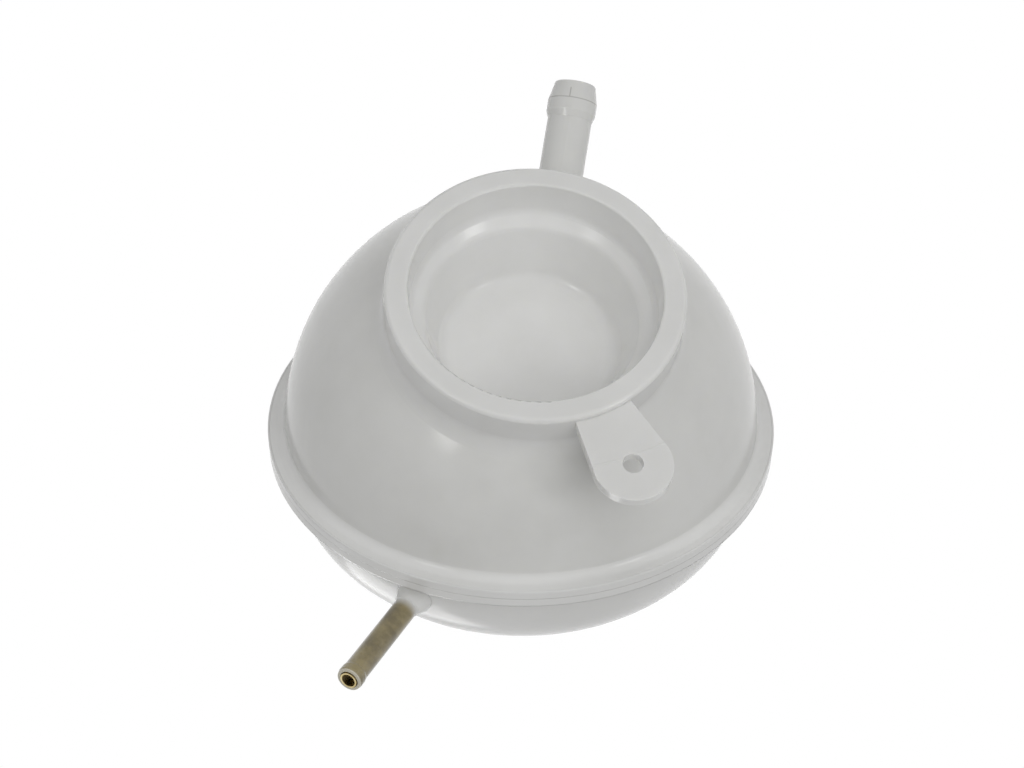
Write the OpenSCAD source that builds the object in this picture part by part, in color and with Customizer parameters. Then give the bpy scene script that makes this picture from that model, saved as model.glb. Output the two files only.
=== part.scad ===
// Ball type coolant expansion tank in natural white plastic.
// Two moulded half shells are welded at a flange. The tank stands on its foot ring,
// whose face is the plane z = 0, with the ring's centre at the origin.
// The weld plane passes through the ball's centre and leans towards -Y.

/* [Ball and wall] */
// Outer radius of the ball
ball_r = 84; // [80:1:90]
// Gap between the foot face and the ball, if the ball were whole
ball_lift = 1; // [0.5:0.5:5]
// Thickness of the moulded wall
wall = 3; // [2:0.25:4]

/* [Weld flange] */
// Angle between the weld plane and the foot face
weld_tilt = 21; // [0:1:28]
// How far the flange stands out from the ball
flange_w = 6; // [4:0.5:10]
// Thickness of the flange on each shell
flange_t = 3.2; // [2:0.1:4.5]
// Radius of the fillet between the flange and the ball
flange_root = 3.5; // [2.5:0.1:3.9]
// How far the fillet's arc runs into the ball, so that the two cross in a clean edge
flange_root_sink = 0.35; // [0.3:0.01:0.6]

/* [Upper dome] */
// Height of the crown over the weld plane
dome_h = 59; // [54:1:64]
// Height of the straight wall over the weld plane
dome_straight = 8; // [6:0.5:12]
// Radius of the dome's shoulder
dome_shoulder = 38; // [34:1:42]

/* [Filler neck] */
// Outer radius of the neck under its thread
neck_r = 21; // [19:0.5:24]
// Height of the neck over the crown
neck_h = 24; // [18:1:30]
// Radius of the smooth mouth that the cap seals in
mouth_r = 17; // [14:0.5:17.5]
// Radius of the fillet between the neck and the crown
neck_fillet = 4; // [2:0.5:6]
// Width of the stop ring under the thread
stop_ring_w = 2.4; // [1.5:0.1:4]
// Height of the stop ring
stop_ring_h = 2.2; // [1.5:0.1:4]
// Height of the stop ring's lower face over the crown
stop_ring_z = 5; // [4.5:0.5:8]

/* [Foot ring] */
// Outer radius of the foot ring
foot_r = 48.5; // [47:0.5:52]
// Width of the foot ring, from its outer side to the dish
foot_w = 7.5; // [6.5:0.1:9]
// Rounding of the foot ring's outer edge
foot_edge = 1.5; // [0.5:0.1:2.5]
// Radius of the fillet between the foot ring and the ball
groove_r = 9; // [6:0.5:12]

/* [Dish in the foot] */
// Rounding of the foot ring's inner edge
dish_edge = 0.8; // [0.4:0.1:1.5]
// Draft angle of the steep wall inside the foot ring
dish_rim_draft = 3.5; // [2:0.5:6]
// Height of the shoulder's outer corner over the foot face
dish_step_z = 12.5; // [10:0.5:16]
// Width of the shoulder
dish_step_w = 4.8; // [4:0.1:6]
// Slope of the shoulder against the foot face
dish_step_slope = 40; // [35:1:46]
// Radius of the rounding between the steep wall and the shoulder
dish_step_r = 4; // [3:0.5:5]
// Radius of the rounding between the shoulder and the upper wall
dish_lip_r = 5; // [4:0.5:6]
// Draft angle of the upper wall
dish_draft = 15.8; // [12:0.2:19]
// Depth of the dish floor over the foot face
dish_depth = 37; // [32:1:42]
// Radius of the fillet round the dish floor
dish_fillet = 5; // [3:0.5:6]

/* [Fixing lug] */
// Direction of the lug round the foot ring
lug_az = -109; // [-125:1:-95]
// Distance from the foot ring's centre to the lug hole
lug_dist = 67.5; // [64:0.5:72]
// Radius of the lug's round end
lug_r = 12.5; // [10:0.5:14]
// Half width of the lug where it leaves the foot ring
lug_root_w = 9.2; // [7:0.2:10]
// Thickness of the lug
lug_t = 3.5; // [2.5:0.1:5]
// Height of the lug's lower face over the foot face
lug_z = 2; // [1:0.5:4]
// Radius of the bolt hole, which clears an M6 screw
lug_hole_r = 3.25; // [2.6:0.05:4.5]

/* [Feed nozzle] */
// Direction of the feed nozzle round the foot ring
feed_az = 105.4; // [90:0.1:120]
// How far the feed nozzle points below level
feed_drop = 25; // [18:1:30]
// How far the feed nozzle stands out from the ball
feed_reach = 40; // [34:1:50]
// Outer radius of the feed nozzle's stem
feed_r = 8.1; // [7.5:0.1:9]
// Radius of the feed nozzle's bore
feed_bore_r = 5.6; // [4:0.1:6]
// How far the barb stands out from the stem
feed_barb_w = 0.9; // [0.5:0.1:1.5]
// Length of the barb's round band
feed_barb_band = 4.2; // [3:0.2:6]
// Length of the barb's nose cone
feed_nose = 6.6; // [4:0.2:9]
// Length of the cone between the stem and the barb
feed_barb_back = 2.6; // [1.5:0.1:4]
// How far the nose cone narrows towards its end
feed_nose_taper = 1.5; // [0.8:0.1:1.8]
// Radius of the fillet at the feed nozzle's root
feed_fillet = 4; // [2:0.5:6]

/* [Bleed nozzle] */
// Direction of the bleed nozzle round the weld axis
bleed_az = -57.8; // [-75:0.1:-45]
// Height of the bleed nozzle's root over the weld plane
bleed_z = 13.3; // [12:0.1:18]
// How far the bleed nozzle points down towards the weld plane
bleed_drop = 5; // [0:1:8]
// Length of the bleed nozzle from the ball to its end
bleed_reach = 44; // [42:1:56]
// Outer radius of the bleed nozzle's plastic sleeve
bleed_r = 4; // [3.6:0.1:4.4]
// How far the bead at its end stands out
bleed_bead_w = 0.3; // [0.2:0.1:0.6]
// Length of the bead at its end, of which its round band is half
bleed_bead = 4; // [3:0.5:6]
// Length of the conical collar at its root
bleed_collar = 6; // [4:0.5:8]
// Width that the collar adds to the sleeve
bleed_collar_w = 2.2; // [1:0.1:2.6]

/* [Bleed tube] */
// Outer radius of the metal tube in the sleeve
tube_r = 2.8; // [2.6:0.05:3]
// Wall thickness of the metal tube
tube_wall = 0.5; // [0.3:0.05:0.7]
// Length of the metal tube
tube_len = 38; // [30:1:39]
// How far the metal tube shows past the sleeve
tube_proud = 0.4; // [0.2:0.1:1]
// Gap round the metal tube, whose inner end sits on a step in the sleeve's bore
tube_gap = 0.3; // [0.2:0.05:0.4]

/* [Hidden] */
$fn = 96;
// Overrun of a cutting shape past the face that it cuts
cut = 1;
ball_z = ball_r + ball_lift;
flange_r = ball_r + flange_w;
dish_rim_r = foot_r - foot_w;
// Centre of the fillet between the flange and the ball, with the weld plane at zero height
flange_root_at = [ball_r + flange_root - flange_root_sink, flange_t + flange_root];
// The fillet between the foot ring and the ball, by its centre and where it leaves the ball
groove_at = [foot_r + groove_r, ball_z - sqrt(pow(ball_r + groove_r, 2) - pow(foot_r + groove_r, 2))];
// Directions that face into the dish from its steep wall, its shoulder, its upper wall and its floor
rim_normal = [-cos(dish_rim_draft), -sin(dish_rim_draft)];
step_normal = [-sin(dish_step_slope), -cos(dish_step_slope)];
wall_normal = [-cos(dish_draft), -sin(dish_draft)];
floor_normal = [0, -1];
// Sharp corners of the dish's section, before they are rounded
step_corner = [dish_rim_r - dish_step_z * tan(dish_rim_draft), dish_step_z];
lip_corner = step_corner + dish_step_w * [-1, tan(dish_step_slope)];
floor_corner = [lip_corner.x - (dish_depth - lip_corner.y) * tan(dish_draft), dish_depth];
// Centres of the roundings at those corners and at the foot ring's inner edge
step_at = rounding_at(step_corner, rim_normal, step_normal, dish_step_r);
lip_at = rounding_at(lip_corner, step_normal, wall_normal, -dish_lip_r);
floor_at = rounding_at(floor_corner, wall_normal, floor_normal, dish_fillet);
edge_at = rounding_at([dish_rim_r, 0], rim_normal, floor_normal, -dish_edge);
// Crown of the upper dome: one large arc that runs into the shoulder's arc
shoulder_at = [ball_r - dome_shoulder, dome_straight];
crown_gap = dome_h - dome_straight;
crown_r = (pow(shoulder_at.x, 2) + pow(crown_gap, 2) - pow(dome_shoulder, 2)) / (2 * (crown_gap - dome_shoulder));
crown_at = [0, dome_h - crown_r];
neck_fillet_at = [neck_r + neck_fillet, crown_at.y + sqrt(pow(crown_r + neck_fillet, 2) - pow(neck_r + neck_fillet, 2))];
feed_fillet_at = [feed_r + feed_fillet, sqrt(pow(ball_r + feed_fillet, 2) - pow(feed_r + feed_fillet, 2))];
bead_r = bleed_r + bleed_bead_w;
tube_bore_r = tube_r - tube_wall;

// Centre of a rounding at a corner of two lines, on the side that their normals face for a radius over zero
function rounding_at(corner, normal_a, normal_b, radius) =
  corner + radius * (normal_a + normal_b) / (1 + normal_a * normal_b);

// Puts a child that is drawn round the weld axis, with the weld plane at z = 0, in its place
module on_weld_axis() {
  translate([0, 0, ball_z]) rotate([weld_tilt, 0, 0]) children();
}

// Puts a child that is drawn along +Z from the ball's centre on the feed nozzle's axis
module on_feed_axis() {
  translate([0, 0, ball_z]) rotate([0, 0, feed_az]) rotate([0, 90 + feed_drop, 0]) children();
}

// Puts a child that is drawn along +Z from the ball's side on the bleed nozzle's axis
module on_bleed_axis() {
  on_weld_axis()
    rotate([0, 0, bleed_az]) translate([ball_r, 0, bleed_z]) rotate([0, 90 + bleed_drop, 0]) children();
}

// Section of a ball round its centre, on the positive side of the foot ring's axis
module ball_section(radius) {
  intersection() {
    translate([0, ball_z]) circle(r = radius, $fn = 180);
    translate([0, ball_z - radius]) square([radius, 2 * radius]);
  }
}

// Section of the dish: its own hollow when grow is 0, and the moulded wall over it when grow is the wall
module dish_section(grow) {
  step = dish_step_r + grow;
  lip = dish_lip_r - grow;
  fillet = dish_fillet + grow;
  foot = step_at.x - step * rim_normal.x + (step_at.y - step * rim_normal.y + cut) * tan(dish_rim_draft);
  mouth = grow > 0 ? [[foot, -cut]] : [[edge_at.x, -cut], edge_at, edge_at + dish_edge * rim_normal];
  walls = [
    step_at - step * rim_normal, step_at, step_at - step * step_normal,
    lip_at + lip * step_normal, lip_at, lip_at + lip * wall_normal,
    floor_at - fillet * wall_normal, floor_at, floor_at - fillet * floor_normal
  ];
  difference() {
    polygon(concat([[0, -cut]], mouth, walls, [[0, dish_depth + grow]]));
    translate(lip_at) circle(r = lip);
    if (grow == 0) translate(edge_at) circle(r = dish_edge, $fn = 32);
  }
  translate(step_at) circle(r = step);
  translate(floor_at) circle(r = fillet);
}

// Section of the foot ring with its rounded edge and the fillet that runs into the ball
module foot_section() {
  difference() {
    polygon([
      [0, 0], [foot_r - foot_edge, 0], [foot_r - foot_edge, foot_edge], [foot_r, foot_edge], [foot_r, groove_at.y],
      groove_at, [0, ball_z]
    ]);
    translate(groove_at) circle(r = groove_r);
  }
  translate([foot_r - foot_edge, foot_edge]) circle(r = foot_edge, $fn = 32);
}

// Section of the moulded wall of ball, foot ring and dish
module foot_half_section() {
  difference() {
    union() {
      ball_section(ball_r);
      foot_section();
    }
    difference() {
      union() {
        ball_section(ball_r - wall);
        translate([0, wall]) square([foot_r - wall, ball_z - wall]);
      }
      dish_section(wall);
    }
    dish_section(0);
  }
}

// Everything below the weld plane
module below_weld() {
  on_weld_axis() translate([-2 * ball_r, -2 * ball_r, -3 * ball_r]) cube([4 * ball_r, 4 * ball_r, 3 * ball_r]);
}

// Section of the upper dome, inset by the wall for its hollow
module dome_section(inset) {
  shoulder = dome_shoulder - inset;
  crown = crown_r - inset;
  reach = dome_h + crown_r;
  intersection() {
    translate([0, -inset * cut]) square([ball_r, dome_h + inset * cut]);
    union() {
      translate([0, -cut]) square([ball_r - inset, dome_straight + cut]);
      translate(shoulder_at) circle(r = shoulder);
      intersection() {
        translate(crown_at) circle(r = crown, $fn = 360);
        polygon([crown_at, crown_at + reach * (shoulder_at - crown_at) / norm(shoulder_at - crown_at), [0, reach]]);
      }
    }
  }
}

// Flange half, drawn upwards from the weld plane, with the fillet that leads into the ball
module flange_half() {
  rotate_extrude() difference() {
    polygon([
      [ball_r - wall, 0], [flange_r, 0], [flange_r, flange_t], [flange_root_at.x, flange_t],
      flange_root_at, [ball_r - wall, flange_root_at.y]
    ]);
    translate(flange_root_at) circle(r = flange_root, $fn = 48);
  }
}

module lug() {
  rotate([0, 0, lug_az]) translate([0, 0, lug_z]) linear_extrude(lug_t) {
    translate([lug_dist, 0]) circle(r = lug_r);
    polygon([
      [foot_r - wall, -lug_root_w], [lug_dist, -lug_r], [lug_dist, lug_r], [foot_r - wall, lug_root_w]
    ]);
  }
}

// Feed nozzle round its own axis, with z measured from the ball's centre
module feed_nozzle() {
  tip = ball_r + feed_reach;
  nose = tip - feed_nose;
  band = nose - feed_barb_band;
  back = band - feed_barb_back;
  barb_r = feed_r + feed_barb_w;
  rotate_extrude() {
    polygon([
      [0, ball_r - wall], [feed_r, ball_r - wall], [feed_r, back], [barb_r, band], [barb_r, nose],
      [barb_r - feed_nose_taper, tip], [0, tip]
    ]);
    difference() {
      polygon([
        [0, ball_r - wall], feed_fillet_at * ball_r / (ball_r + feed_fillet), feed_fillet_at,
        [feed_r, feed_fillet_at.y], [0, feed_fillet_at.y]
      ]);
      translate(feed_fillet_at) circle(r = feed_fillet, $fn = 48);
    }
  }
}

// Filler neck round the weld axis, with its fillet on the crown and its stop ring
module filler_neck() {
  translate([0, 0, dome_h - wall]) cylinder(r = neck_r, h = neck_h + wall);
  translate([0, 0, dome_h + stop_ring_z]) cylinder(r = neck_r + stop_ring_w, h = stop_ring_h);
  rotate_extrude() difference() {
    polygon([
      [0, dome_h - wall], crown_at + (neck_fillet_at - crown_at) * crown_r / (crown_r + neck_fillet),
      neck_fillet_at, [0, neck_fillet_at.y]
    ]);
    translate(neck_fillet_at) circle(r = neck_fillet, $fn = 48);
  }
}

// Bleed nozzle's plastic sleeve along its own axis
module bleed_sleeve() {
  translate([0, 0, -wall]) cylinder(r = bleed_r, h = bleed_reach - bleed_bead / 2 + wall, $fn = 48);
  translate([0, 0, -wall]) cylinder(r = bleed_r + bleed_collar_w, h = wall, $fn = 48);
  cylinder(r1 = bleed_r + bleed_collar_w, r2 = bleed_r, h = bleed_collar, $fn = 48);
  translate([0, 0, bleed_reach]) mirror([0, 0, 1]) {
    cylinder(r1 = bleed_r, r2 = bead_r, h = bleed_bead / 4, $fn = 48);
    translate([0, 0, bleed_bead / 4]) cylinder(r = bead_r, h = bleed_bead / 2, $fn = 48);
    translate([0, 0, bleed_bead * 3 / 4]) cylinder(r1 = bead_r, r2 = bleed_r, h = bleed_bead / 4, $fn = 48);
  }
}

module lower_shell() {
  color([0.85, 0.86, 0.83]) difference() {
    union() {
      intersection() {
        rotate_extrude() foot_half_section();
        below_weld();
      }
      difference() {
        union() {
          on_weld_axis() mirror([0, 0, 1]) flange_half();
          lug();
          on_feed_axis() feed_nozzle();
        }
        translate([0, 0, ball_z]) sphere(r = ball_r - wall / 2, $fn = 180);
        cylinder(r = foot_r - wall / 2, h = ball_z - ball_r / 2);
      }
    }
    on_feed_axis() translate([0, 0, ball_r - 2 * wall]) cylinder(r = feed_bore_r, h = feed_reach + 3 * wall);
    rotate([0, 0, lug_az]) translate([lug_dist, 0, lug_z - cut])
      cylinder(r = lug_hole_r, h = lug_t + 2 * cut, $fn = 48);
  }
}

module upper_shell() {
  color([0.86, 0.87, 0.84]) difference() {
    union() {
      on_weld_axis() rotate_extrude() dome_section(0);
      on_weld_axis() flange_half();
      on_weld_axis() filler_neck();
      on_bleed_axis() bleed_sleeve();
    }
    on_weld_axis() rotate_extrude() dome_section(wall);
    on_weld_axis() translate([0, 0, dome_h - 3 * wall]) cylinder(r = mouth_r, h = neck_h + 4 * wall);
    on_bleed_axis() translate([0, 0, -2 * wall]) cylinder(r = tube_bore_r, h = bleed_reach + 3 * wall, $fn = 48);
    on_bleed_axis() translate([0, 0, bleed_reach - tube_len + tube_proud])
      cylinder(r = tube_r + tube_gap, h = tube_len + cut, $fn = 48);
  }
}

module bleed_tube() {
  color([0.62, 0.56, 0.38]) on_bleed_axis() translate([0, 0, bleed_reach - tube_len + tube_proud]) difference() {
    cylinder(r = tube_r, h = tube_len, $fn = 48);
    translate([0, 0, -cut]) cylinder(r = tube_bore_r, h = tube_len + 2 * cut, $fn = 48);
  }
}

lower_shell();
upper_shell();
bleed_tube();
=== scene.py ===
# %% [markdown]
# # A coolant expansion tank in natural white plastic
# The tank is two moulded half shells, welded at a flange, with a metal tube in its bleed nozzle.
# The packed solids give every main shape. Here they get their plastic and metal, and the one
# fine detail that the solids leave out: the coarse thread on the filler neck. The tank stands
# upright on its foot ring, and the camera looks up at it from below, as the photograph does.
# All lengths are in metres.

# %% Load the packed model
import math

import bpy
from mathutils import Matrix, Vector


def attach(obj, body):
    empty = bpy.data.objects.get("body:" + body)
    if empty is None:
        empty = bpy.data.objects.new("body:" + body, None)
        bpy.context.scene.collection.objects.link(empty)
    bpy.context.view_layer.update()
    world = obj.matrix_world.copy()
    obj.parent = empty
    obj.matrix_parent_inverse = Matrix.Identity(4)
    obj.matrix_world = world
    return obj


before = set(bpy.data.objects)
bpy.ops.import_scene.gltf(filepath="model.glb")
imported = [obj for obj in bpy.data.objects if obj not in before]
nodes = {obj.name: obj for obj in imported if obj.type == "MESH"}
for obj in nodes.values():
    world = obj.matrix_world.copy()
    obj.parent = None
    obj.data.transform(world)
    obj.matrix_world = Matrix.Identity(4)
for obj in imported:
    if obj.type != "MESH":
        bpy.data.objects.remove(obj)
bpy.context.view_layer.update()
print("solids:", sorted(nodes))

# %% [markdown]
# ## Sizes that the details share with the solids
# The ball's centre lies on the foot ring's axis, and the weld plane leans by 21 degrees. Three
# matrices carry anything drawn round an axis into its place: the weld's axis from the ball's
# centre, the bleed nozzle's axis from the ball's side, and the feed nozzle's axis from the ball's
# centre. The foot ring's own axis is simply Z.

# %% Shared sizes
MM = 0.001
BALL_R = 84 * MM
BALL_Z = 85 * MM
WELD_TILT = math.radians(21)
FLANGE_R = 90 * MM
FLANGE_T = 3.2 * MM
DOME_H = 59 * MM
NECK_R = 21 * MM
BLEED_AZ = math.radians(-57.8)
BLEED_Z = 13.3 * MM
BLEED_DROP = math.radians(5)
BLEED_REACH = 44 * MM
FEED_AZ = math.radians(105.4)
FEED_DROP = math.radians(25)
FEED_NOSE_AT = 117.4 * MM
QUARTER = math.radians(90)

foot_frame = Matrix.Identity(4)
weld_frame = Matrix.Translation((0, 0, BALL_Z)) @ Matrix.Rotation(WELD_TILT, 4, "X")
bleed_frame = (
    weld_frame
    @ Matrix.Rotation(BLEED_AZ, 4, "Z")
    @ Matrix.Translation((BALL_R, 0, BLEED_Z))
    @ Matrix.Rotation(QUARTER + BLEED_DROP, 4, "Y")
)
feed_frame = (
    Matrix.Translation((0, 0, BALL_Z))
    @ Matrix.Rotation(FEED_AZ, 4, "Z")
    @ Matrix.Rotation(QUARTER + FEED_DROP, 4, "Y")
)


def axis_of(matrix, axis=(0, 0, 1)):
    """A direction of a matrix's own axes, seen from the tank."""
    return matrix.to_3x3() @ Vector(axis)


print("weld axis:", tuple(round(part, 3) for part in axis_of(weld_frame)))

# %% [markdown]
# ## The camera
# The viewpoint was found by fitting the tank's outline. It is below the foot and in front,
# so the picture's top is the tank's foot side.

# %% Camera
CAMERA_AT = Vector((0.0694, -0.3104, -0.4775))
CAMERA_LOOKS = Vector((-0.104, 0.498, 0.861)).normalized()
CAMERA_UP = Vector((-0.072, 0.860, -0.506))
LENS_MM = 63.28
SENSOR_MM = 36

camera_right = CAMERA_LOOKS.cross(CAMERA_UP).normalized()
camera_up = camera_right.cross(CAMERA_LOOKS)
turn = Matrix((camera_right, camera_up, -CAMERA_LOOKS)).transposed().to_4x4()
bpy.ops.object.camera_add()
camera = bpy.context.object
camera.name = "camera"
camera.matrix_world = Matrix.Translation(CAMERA_AT) @ turn
camera.data.lens = LENS_MM
camera.data.sensor_width = SENSOR_MM
camera.data.clip_start = 0.01
bpy.context.scene.camera = camera
rises = math.degrees(math.asin(CAMERA_LOOKS.z))
print("camera looks", round(rises, 1), "degrees upwards")


# %% [markdown]
# ## A small language for shader maths
# Each value in a material is a node's output. This class gives such an output the usual
# operators, so a formula in a material reads like plain arithmetic.

# %% Values with operators
class Value:
    def __init__(self, shader, socket):
        self.shader = shader
        self.socket = socket

    def _math(self, operation, *others):
        inputs = dict(enumerate((self,) + others))
        return self.shader.value("ShaderNodeMath", {"operation": operation}, inputs)

    def __add__(self, other):
        return self._math("ADD", other)

    def __radd__(self, other):
        return self._math("ADD", other)

    def __sub__(self, other):
        return self._math("SUBTRACT", other)

    def __rsub__(self, other):
        return self * -1 + other

    def __mul__(self, other):
        return self._math("MULTIPLY", other)

    def __rmul__(self, other):
        return self._math("MULTIPLY", other)

    def __truediv__(self, other):
        return self._math("DIVIDE", other)

    def __pow__(self, other):
        return self._math("POWER", other)

    def __abs__(self):
        return self._math("ABSOLUTE")

    def larger(self, other):
        return self._math("MAXIMUM", other)

    def clamp(self):
        return self.shader.value("ShaderNodeClamp", {}, {0: self})

    def smooth(self, low, high):
        """0 below low, 1 above high, and a soft step between them."""
        settings = {"interpolation_type": "SMOOTHSTEP"}
        return self.shader.value("ShaderNodeMapRange", settings, {0: self, 1: low, 2: high})


print("operators: + - * / ** abs, and larger, clamp and smooth")


# %% [markdown]
# ## A shader and its nodes
# One method makes any node from its kind, its settings and its inputs, and the others are short
# names for the nodes used most. The same class fills a material's node tree and the world's.

# %% Shader
class Shader:
    def __init__(self, owner, output="ShaderNodeOutputMaterial"):
        owner.use_nodes = True
        self.owner = owner
        self.tree = owner.node_tree
        self.tree.nodes.clear()
        self.output = self.tree.nodes.new(output)

    def node(self, kind, settings, inputs):
        made = self.tree.nodes.new(kind)
        for key, value in settings.items():
            setattr(made, key, value)
        for key, value in inputs.items():
            if isinstance(value, Value):
                self.tree.links.new(value.socket, made.inputs[key])
            else:
                made.inputs[key].default_value = value
        return made

    def value(self, kind, settings, inputs, output=0):
        return Value(self, self.node(kind, settings, inputs).outputs[output])

    def place(self):
        return self.value("ShaderNodeTexCoord", {}, {}, "Object")

    def noise(self, place, scale, detail=3.0, roughness=0.5):
        inputs = {"Vector": place, "Scale": scale, "Detail": detail, "Roughness": roughness}
        return self.value("ShaderNodeTexNoise", {}, inputs, "Fac")

    def vector(self, operation, first, second, output="Vector"):
        settings = {"operation": operation}
        return self.value("ShaderNodeVectorMath", settings, {0: first, 1: second}, output)

    def along(self, place, direction):
        """How far a place lies along a direction."""
        return self.vector("DOT_PRODUCT", place, tuple(direction), "Value")

    def distance(self, place, centre):
        return self.vector("DISTANCE", place, centre, "Value")

    def round_axis(self, place, matrix):
        """The height along a matrix's Z axis, and the distance from that axis."""
        local = self.vector("SUBTRACT", place, tuple(matrix.translation))
        height = self.along(local, axis_of(matrix))
        squared = self.vector("DOT_PRODUCT", local, local, "Value")
        return height, (squared - height * height).clamp() ** 0.5

    def mix(self, factor, first, second):
        inputs = {0: factor, 6: first, 7: second}
        return self.value("ShaderNodeMix", {"data_type": "RGBA"}, inputs, 2)

    def blend(self, factor, first, second):
        both = self.node("ShaderNodeMixShader", {}, {0: factor})
        for slot, part in enumerate((first, second), start=1):
            self.tree.links.new(part.outputs[0], both.inputs[slot])
        return both

    def bump(self, height, strength, distance):
        inputs = {"Height": height, "Strength": strength, "Distance": distance}
        return self.value("ShaderNodeBump", {}, inputs)

    def finish(self, shader):
        self.tree.links.new(shader.outputs[0], self.output.inputs["Surface"])
        return self.owner


print("nodes used most:", [name for name in vars(Shader) if not name.startswith("_")])

# %% [markdown]
# ## Natural polypropylene
# Unpigmented polypropylene is milky: light goes into the wall, scatters and comes out again a
# little way off, so creases look soft. Subsurface scattering does this in the 3 mm wall. A plain
# diffuse plastic could stand for it, but the dish would then look like painted metal. The sheen
# is used on the bleed nozzle only.

# %% Plastic body
MILK = {
    "IOR": 1.49,
    "Specular IOR Level": 0.45,
    "Subsurface Radius": (1.0, 1.0, 0.94),
    "Subsurface Scale": 1.2 * MM,
    "Sheen Roughness": 0.35,
}


def plastic_body(shader, colour, roughness, normal, milkiness=0.0, sheen=0.0):
    inputs = {
        **MILK,
        "Base Color": colour,
        "Roughness": roughness,
        "Normal": normal,
        "Subsurface Weight": milkiness,
        "Sheen Weight": sheen,
    }
    return shader.node("ShaderNodeBsdfPrincipled", {}, inputs)


print("polypropylene refracts by", MILK["IOR"])

# %% [markdown]
# ## Marks of the weld
# The flange's corners are rounded off, and a fine groove runs round its edge where the two halves
# were pressed together. Both follow the weld axis, so they sit on the solids' own edges. They
# could be bevels and cuts in a mesh of their own, but the flange's edge is the model's outer
# limit, and marks this fine show only in the way they turn the light.

# %% Flange relief
CORNER_R = 0.7 * MM
GROOVE = (0.08 * MM, 0.3 * MM)


def flange_relief(shader, place):
    """The groove, the rounded corners, and the distance from the weld plane."""
    height, radius = shader.round_axis(place, weld_frame)
    beside = abs(height)
    down = ((beside - (FLANGE_T - CORNER_R)) / CORNER_R).clamp()
    outward = ((radius - (FLANGE_R - CORNER_R)) / CORNER_R).clamp()
    groove = (1.0 - beside.smooth(*GROOVE)) * outward
    corner = (down * down + outward * outward) * outward.smooth(0.0, 0.2)
    return groove, corner, beside


print("flange corners rounded by", CORNER_R / MM, "mm")

# %% [markdown]
# ## Painted shade and painted light on the walls
# Light that enters the ball's thin wall is partly lost in the hollow behind it, while the foot
# ring, the flange and the lug are thick and send it back. This shade is painted into the colour:
# the ball and the hollow nozzle stem get a greyer copy of the plastic. The dish inside the foot
# ring is the other way round: it hangs in the hollow, light comes through it from behind, and this
# light is painted in as a lighter copy of the plastic. Their places are simple distances: from the
# ball's centre, from the foot ring's axis, from the weld plane and from the feed nozzle's axis.
# Each pair below is where such a place begins and ends.

# %% Painted shade on the thin walls, painted light in the dish
BALL_SKIN = (BALL_R + 1 * MM, BALL_R + 3 * MM)
FOOT_SKIRT = (47 * MM, 53 * MM)
UNDER_FLANGE = (-7 * MM, -4 * MM)
STEM_ALONG = (BALL_R, BALL_R + 6 * MM)
STEM_ROUND = (10 * MM, 13 * MM)
DISH_MOUTH = (0.4 * MM, 2 * MM)
DISH_TOP = (42 * MM, 46 * MM)
DISH_ROUND = (40.4 * MM, 41.4 * MM)


# Painted shade: where the plastic's colour turns greyer, on the ball's thin wall and the nozzle
# stem.
def painted_thin_wall_shade(shader, place):
    from_centre = shader.distance(place, (0, 0, BALL_Z))
    over_weld, _ = shader.round_axis(place, weld_frame)
    _, from_foot_axis = shader.round_axis(place, foot_frame)
    ball = 1.0 - from_centre.smooth(*BALL_SKIN)
    outside_foot = from_foot_axis.smooth(*FOOT_SKIRT)
    foot_side = 1.0 - over_weld.smooth(*UNDER_FLANGE)
    along, off = shader.round_axis(place, feed_frame)
    stem = along.smooth(*STEM_ALONG) * (1.0 - off.smooth(*STEM_ROUND))
    return (ball * outside_foot * foot_side + stem).clamp()


# Painted light: where the plastic's colour turns lighter, on the dish's wall and floor.
def painted_dish_glow(shader, place):
    height, off = shader.round_axis(place, foot_frame)
    sunk = height.smooth(*DISH_MOUTH) * (1.0 - height.smooth(*DISH_TOP))
    return sunk * (1.0 - off.smooth(*DISH_ROUND))


print("dish shade reaches", DISH_ROUND[1] / MM, "mm from the foot's axis")

# %% [markdown]
# ## The parting lines on the feed nozzle
# The mould's insert for the barb leaves a hair line round the barb's front edge and a short one
# along the nose. Both are thin dark strips of colour, drawn by distance along and round the axis.

# %% Parting lines
HAIR_LINE = (0.1 * MM, 0.3 * MM)
BORE_SIDE = (6.5 * MM, 7.2 * MM)
OUTSIDE = (10 * MM, 11 * MM)
TICK_SIDE = -1.2 * MM
TICK_START = (FEED_NOSE_AT, FEED_NOSE_AT + 0.2 * MM)
TICK_END = (FEED_NOSE_AT + 3.5 * MM, FEED_NOSE_AT + 4 * MM)


def parting_lines(shader, place):
    along, off = shader.round_axis(place, feed_frame)
    outer = off.smooth(*BORE_SIDE) * (1.0 - off.smooth(*OUTSIDE))
    ring = 1.0 - abs(along - FEED_NOSE_AT).smooth(*HAIR_LINE)
    side = shader.along(place, axis_of(feed_frame, (0, 1, 0)))
    strip = 1.0 - abs(side - TICK_SIDE).smooth(*HAIR_LINE)
    reach = along.smooth(*TICK_START) * (1.0 - along.smooth(*TICK_END))
    return outer * (ring + strip * reach).clamp()


print("parting line at", round(FEED_NOSE_AT / MM, 1), "mm along the nozzle")

# %% [markdown]
# ## The tube seen through its sleeve
# The bleed nozzle's sleeve is thin and clear enough to show the tarnished tube inside. A
# see-through plastic could do this, but the sleeve and the dome are one moulding, and the whole
# dome would then have to be blended. So the sleeve takes the tube's mottled tone by its place
# along the nozzle, its end keeps a milky rim, and a sheen gives it the pale edges of a clear skin.

# %% Sleeve
SLEEVE_START = (5 * MM, 10 * MM)
SLEEVE_ROUND = (4.6 * MM, 5.6 * MM)
SLEEVE_RIM = (BLEED_REACH - 0.6 * MM, BLEED_REACH - 0.2 * MM)
TUBE_TONES = ((0.15, 0.115, 0.042, 1), (0.30, 0.24, 0.10, 1))
RIM_TONE = (0.72, 0.69, 0.58, 1)


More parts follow.
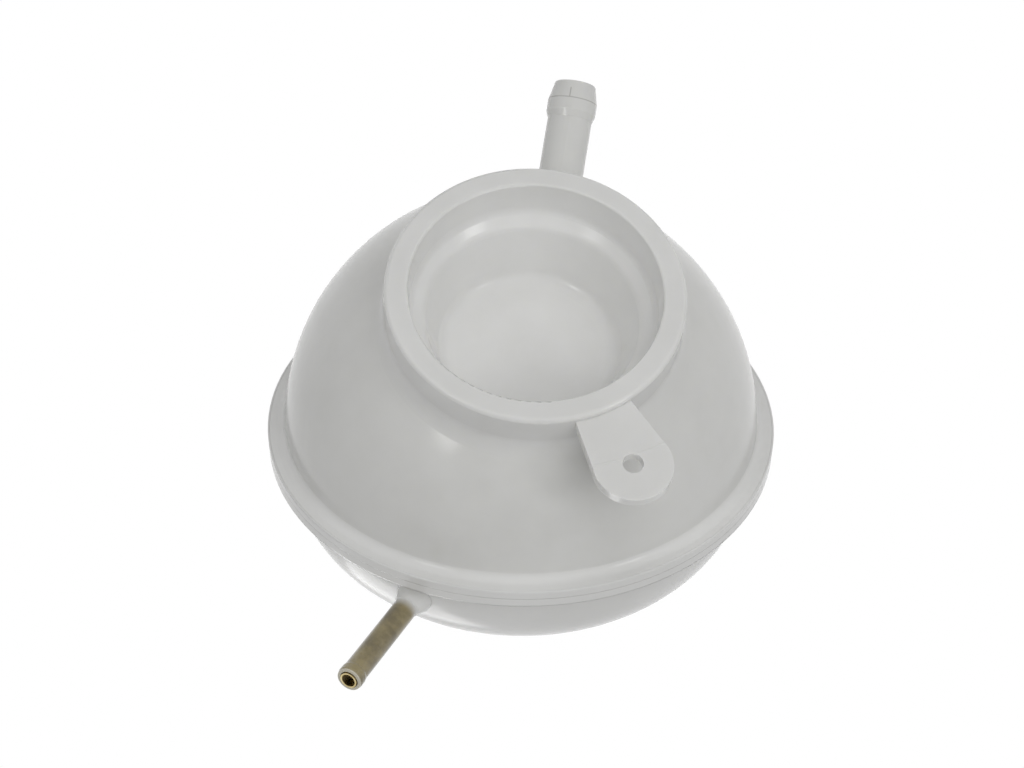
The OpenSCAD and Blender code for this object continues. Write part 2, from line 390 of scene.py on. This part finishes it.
def sleeve_tone(shader, place, flow):
    """How much a place belongs to the sleeve, and the colour there."""
    along, off = shader.round_axis(place, bleed_frame)
    sleeve = along.smooth(*SLEEVE_START) * (1.0 - off.smooth(*SLEEVE_ROUND))
    tube = shader.mix(flow.smooth(0.35, 0.65), *TUBE_TONES)
    return sleeve, shader.mix(along.smooth(*SLEEVE_RIM) * 0.75, tube, RIM_TONE)


print("sleeve length:", round((BLEED_REACH - SLEEVE_START[0]) / MM), "mm")

# %% [markdown]
# ## The whole plastic
# The skin is satin, with a faint waviness and a fine grain. Heights are written in metres, so the
# bump node takes them as they are. Near the weld the two shells are one block in reality, and
# scattering would draw a dark line between their meshes, so a Mix Shader hands over to a plain
# copy of the plastic there. A second one puts the sleeve's tone over the bleed nozzle.

# %% Natural plastic
THICK_TONES = ((0.775, 0.775, 0.760, 1), (0.820, 0.820, 0.808, 1))
# Painted shade: the greyer copy of the plastic for the thin walls.
SHADED_THIN_TONES = ((0.720, 0.720, 0.701, 1), (0.770, 0.770, 0.753, 1))
# Painted light: the lighter copy of the plastic for the dish.
LIT_DISH_TONES = ((0.815, 0.815, 0.802, 1), (0.860, 0.860, 0.850, 1))
LINE_TONE = (0.40, 0.39, 0.37, 1)
WAVE_DEPTH = 0.09 * MM
FLOW_DEPTH = 0.04 * MM
GRAIN_DEPTH = 0.006 * MM
GROOVE_DEPTH = 0.1 * MM
CORNER_DEPTH = 0.25 * MM
WELDED = (2 * MM, 7 * MM)
SLEEVE_SHARE = 0.92


def natural_plastic(name):
    shader = Shader(bpy.data.materials.new(name))
    place = shader.place()
    wave = shader.noise(place, 28.0)
    flow = shader.noise(place, 90.0, 4.0, 0.6)
    grain = shader.noise(place, 1400.0, 2.0)
    groove, corner, beside = flange_relief(shader, place)

    tint = (wave * 0.7 + flow * 0.3).smooth(0.3, 0.7)
    all_tones = (THICK_TONES, SHADED_THIN_TONES, LIT_DISH_TONES)
    thick, shaded_thin, lit_dish = (shader.mix(tint, *tones) for tones in all_tones)
    # Painted shade on the thin walls, as a greyer colour.
    colour = shader.mix(painted_thin_wall_shade(shader, place), thick, shaded_thin)
    # Painted light in the dish, as a lighter colour.
    colour = shader.mix(painted_dish_glow(shader, place), colour, lit_dish)
    lines = (groove * 0.2 + parting_lines(shader, place) * 0.6).clamp()
    colour = shader.mix(lines, colour, LINE_TONE)

    roughness = 0.13 + 0.08 * flow + 0.04 * wave
    raised = wave * WAVE_DEPTH + flow * FLOW_DEPTH + grain * GRAIN_DEPTH
    height = raised - groove * GROOVE_DEPTH - corner * CORNER_DEPTH
    normal = shader.bump(height, 1.0, 1.0)

    milky = plastic_body(shader, colour, roughness, normal, milkiness=1.0)
    plain = plastic_body(shader, colour, roughness, normal)
    body = shader.blend(1.0 - beside.smooth(*WELDED), milky, plain)
    sleeve, shown = sleeve_tone(shader, place, flow)
    clear = plastic_body(shader, shown, roughness, normal, sheen=1.0)
    return shader.finish(shader.blend(sleeve * SLEEVE_SHARE, body, clear))


plastic = natural_plastic("natural_plastic")
print("plastic:", len(plastic.node_tree.nodes), "nodes")

# %% [markdown]
# ## Dull brass
# The drawn tube has fine lines along it and a browner, tarnished tone in patches.

# %% Brass
BRASS_TONES = ((0.46, 0.36, 0.16, 1), (0.72, 0.62, 0.36, 1))


def dull_brass(name):
    shader = Shader(bpy.data.materials.new(name))
    place = shader.place()
    patch = shader.noise(place, 260.0).smooth(0.35, 0.7)
    lines = shader.noise(place, 2600.0, 2.0)
    inputs = {
        "Base Color": shader.mix(patch, *BRASS_TONES),
        "Metallic": 1.0,
        "Roughness": 0.28 + 0.2 * patch,
        "Normal": shader.bump(lines, 0.15, 0.1 * MM),
    }
    return shader.finish(shader.node("ShaderNodeBsdfPrincipled", {}, inputs))


brass = dull_brass("brass")
print("brass:", len(brass.node_tree.nodes), "nodes")

# %% [markdown]
# ## Who wears what
# Both shells are the same plastic, and the tube alone is metal.

# %% Materials on the solids
def wear(piece, material):
    piece.data.materials.clear()
    piece.data.materials.append(material)
    print(piece.name, "wears", material.name)


wear(nodes["lower_shell"], plastic)
wear(nodes["upper_shell"], plastic)
wear(nodes["bleed_tube"], brass)


# %% [markdown]
# ## Helpers for editing
# The thread is shaped with the same tools that a person would use by hand: pick points, move
# them, apply a modifier. These short functions keep each of those steps on one line.

# %% Editing helpers
def clear_selection():
    if bpy.context.object and bpy.context.object.mode != "OBJECT":
        bpy.ops.object.mode_set(mode="OBJECT")
    bpy.ops.object.select_all(action="DESELECT")


def apply_modifier(piece, kind, settings):
    modifier = piece.modifiers.new(kind.lower(), kind)
    for key, value in settings.items():
        setattr(modifier, key, value)
    bpy.ops.object.modifier_apply(modifier=modifier.name)
    print(kind.lower(), "applied:", len(piece.data.polygons), "faces")


def pick_points(piece, wanted):
    """Selects the points whose place passes the test, and stays in edit mode."""
    bpy.ops.object.mode_set(mode="EDIT")
    bpy.ops.mesh.select_mode(type="VERT")
    bpy.ops.mesh.select_all(action="DESELECT")
    bpy.ops.object.mode_set(mode="OBJECT")
    for point in piece.data.vertices:
        point.select = wanted(point.co)
    print("picked:", sum(point.select for point in piece.data.vertices), "points")
    bpy.ops.object.mode_set(mode="EDIT")


# %% [markdown]
# ## The filler neck's thread: its profile
# A coarse rounded thread for the cap winds round the neck in a bit over two turns. Its profile
# is a small rectangle, with its inner side sunk into the neck and its outer side narrowed, so
# that it becomes a trapezium as on a moulded thread. Only its outline is kept.

# %% Thread profile
THREAD_TURNS = 2.25
THREAD_PITCH = 5.0 * MM
THREAD_DEPTH = 1.6 * MM
THREAD_SUNK = 0.4 * MM
THREAD_ROOT = 3.2 * MM
THREAD_CREST = 0.4
THREAD_START = DOME_H + 9.6 * MM

clear_selection()
middle = NECK_R + (THREAD_DEPTH - THREAD_SUNK) / 2
start = (middle, 0, THREAD_START)
bpy.ops.mesh.primitive_plane_add(size=1, location=start, rotation=(QUARTER, 0, 0))
thread = bpy.context.object
thread.name = "filler_thread"
thread.scale = (THREAD_DEPTH + THREAD_SUNK, THREAD_ROOT, 1)
bpy.ops.object.transform_apply(location=True, rotation=True, scale=True)
pick_points(thread, lambda at: at.x > middle)
bpy.ops.transform.resize(value=(1, 1, THREAD_CREST), center_override=start)
bpy.ops.mesh.select_all(action="SELECT")
bpy.ops.mesh.delete(type="ONLY_FACE")
bpy.ops.object.mode_set(mode="OBJECT")
print("thread profile:", len(thread.data.vertices), "points")

# %% [markdown]
# ## The thread wound up
# The profile could be swept along a drawn helix, but the Screw modifier winds it up by itself
# and keeps it upright. It leaves both ends open, so they are filled, and the normals are turned
# outwards.

# %% Thread wound up
STEPS_A_TURN = 64
steps = int(STEPS_A_TURN * THREAD_TURNS)
turned = 2 * math.pi * THREAD_TURNS
rise = THREAD_PITCH * THREAD_TURNS
settings = {
    "angle": turned,
    "screw_offset": rise,
    "steps": steps,
    "render_steps": steps,
    "use_smooth_shade": False,
}
apply_modifier(thread, "SCREW", settings)
bpy.ops.object.mode_set(mode="EDIT")
bpy.ops.mesh.select_mode(type="EDGE")
bpy.ops.mesh.select_all(action="DESELECT")
bpy.ops.mesh.select_non_manifold()
bpy.ops.mesh.fill_holes(sides=4)
bpy.ops.mesh.select_all(action="SELECT")
bpy.ops.mesh.remove_doubles(threshold=0.01 * MM)
bpy.ops.mesh.normals_make_consistent(inside=False)
bpy.ops.object.mode_set(mode="OBJECT")
print("thread wound up:", round(turned, 2), "radians,", round(rise / MM, 2), "mm high")

# %% [markdown]
# ## The thread's ends
# A moulded thread runs out into the neck. Each end face is pulled inwards, and proportional
# editing takes the last few millimetres of the thread along with it.

# %% Thread ends
END_PULL = 2.2 * MM
END_FADE = 8 * MM
END_REACH = 0.6 * THREAD_ROOT
END_SLICE = 0.2 * MM

for angle, z in ((0.0, THREAD_START), (turned, THREAD_START + rise)):
    outward = Vector((math.cos(angle), math.sin(angle), 0))
    onward = Vector((-math.sin(angle), math.cos(angle), 0))
    end = outward * NECK_R + Vector((0, 0, z))

    def on_end(at):
        away = at - end
        return away.length < END_REACH and abs(away.dot(onward)) < END_SLICE

    pick_points(thread, on_end)
    bpy.ops.transform.translate(
        value=tuple(outward * -END_PULL),
        use_proportional_edit=True,
        use_proportional_connected=True,
        proportional_edit_falloff="SMOOTH",
        proportional_size=END_FADE,
    )
    bpy.ops.object.mode_set(mode="OBJECT")

# %% [markdown]
# ## The thread rounded and put on the neck
# A bevel rounds the crest as a mould does. The thread was made round the world's Z axis, and the
# weld's matrix, which carries the neck too, puts the mesh in its place.

# %% Thread in place
apply_modifier(thread, "BEVEL", {"width": 0.35 * MM, "segments": 2, "limit_method": "ANGLE"})
bpy.ops.object.shade_smooth_by_angle(angle=math.radians(40))
thread.matrix_world = weld_frame
bpy.ops.object.transform_apply(location=True, rotation=True, scale=True)
wear(thread, plastic)
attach(thread, "root")
print("thread:", THREAD_TURNS, "turns")

# %% [markdown]
# ## The floor
# The floor is a plain pale sheet that only a camera above it sees. The camera below it sees the
# tank freely, and the studio's light reaches the foot side through it. It glows a little, so it
# stays pale under the lamps and still takes the tank's shadow. It lies a hair below the foot,
# because two faces in one plane would be drawn in patches.

# %% Floor
FLOOR_SIZE = 6
FLOOR_Z = -0.2 * MM

bpy.ops.mesh.primitive_plane_add(size=FLOOR_SIZE, location=(0, 0, FLOOR_Z))
floor = bpy.context.object
floor.name = "floor"
shader = Shader(bpy.data.materials.new("pale_floor"))
inputs = {
    "Base Color": (0.85, 0.85, 0.85, 1),
    "Roughness": 1.0,
    "Specular IOR Level": 0.0,
    "Emission Color": (1, 1, 1, 1),
    "Emission Strength": 0.3,
}
pale = shader.node("ShaderNodeBsdfPrincipled", {}, inputs)
clear = shader.node("ShaderNodeBsdfTransparent", {}, {})
from_below = shader.value("ShaderNodeNewGeometry", {}, {}, "Backfacing")
to_camera = shader.value("ShaderNodeLightPath", {}, {}, "Is Camera Ray")
unseen = (from_below + (1.0 - to_camera)).clamp()
floor.data.materials.append(shader.finish(shader.blend(unseen, pale, clear)))
print("floor:", FLOOR_SIZE, "m wide")

# %% [markdown]
# ## The backdrop
# The studio is white to the camera, and in mirror images and through clear things, at a strength
# of one. As a light it is much softer, so that it doesn't wash out the plastic's shades.

# %% Backdrop
SOFT_STRENGTH = 0.36
WHITE = (1, 1, 1, 1)

shader = Shader(bpy.data.worlds.new("studio"), "ShaderNodeOutputWorld")
camera_ray, glossy_ray, clear_ray = (
    shader.value("ShaderNodeLightPath", {}, {}, f"Is {kind} Ray")
    for kind in ("Camera", "Glossy", "Transmission")
)
soft, white = (
    shader.node("ShaderNodeBackground", {}, {"Color": WHITE, "Strength": strength})
    for strength in (SOFT_STRENGTH, 1.0)
)
seen = camera_ray.larger(glossy_ray).larger(clear_ray)
bpy.context.scene.world = shader.finish(shader.blend(seen, soft, white))
print("studio:", SOFT_STRENGTH, "as a light")

# %% [markdown]
# ## The lamps
# Two small soft lamps stand below the foot, to the right and the left of the camera. They make
# the pairs of highlights in the dish. Two wide ones, in front and high in the picture, fill the
# foot side, and three light the tank from above for all other views. The wide lamps below, and
# two of those above, leave no mirror image, which would be a broad band on the dish's shoulder
# or a white rim round the dome.

# %% Lamps
SMALL = 0.21
WIDE = 0.8
ABOVE = 0.7


def from_camera(right, up, back):
    """A direction given in the picture: rightwards, upwards and back towards the camera."""
    return camera_right * right + camera_up * up - CAMERA_LOOKS * back


LAMPS = [
    # name, direction from the ball, distance, width, power in watts, mirror image
    ("lamp_right", from_camera(0.66, -0.05, 0.75), 1.1, SMALL, 0.8, True),
    ("lamp_left", from_camera(-0.54, -0.10, 0.84), 1.1, SMALL, 0.85, True),
    ("lamp_front", from_camera(0.3, 0.1, 0.94), 1.3, WIDE, 3.5, False),
    ("lamp_high", from_camera(0, 0.7, 0.7), 1.3, WIDE, 1.3, False),
    ("lamp_top_front", Vector((0.5, -0.3, 1.0)), 1.3, ABOVE, 2.8, True),
    ("lamp_top_back", Vector((-0.8, 0.7, 1.2)), 1.3, ABOVE, 4.0, False),
    ("lamp_top", Vector((0.1, 0.6, 1.1)), 1.3, ABOVE, 3.0, False),
]
for name, direction, distance, width, power, mirrored in LAMPS:
    bpy.ops.object.light_add(type="AREA")
    light = bpy.context.object
    light.name = name
    light.data.shape = "SQUARE"
    light.data.size = width
    light.data.energy = power
    away = direction.normalized()
    light.location = Vector((0, 0, BALL_Z)) + away * distance
    light.rotation_euler = away.to_track_quat("Z", "Y").to_euler()
    light.visible_glossy = mirrored
    print(name, power, "W")

# %% [markdown]
# ## Colours as they are
# The Standard view transform keeps the plastic's pale tones where the lights put them.

# %% Finish
bpy.context.scene.view_settings.view_transform = "Standard"
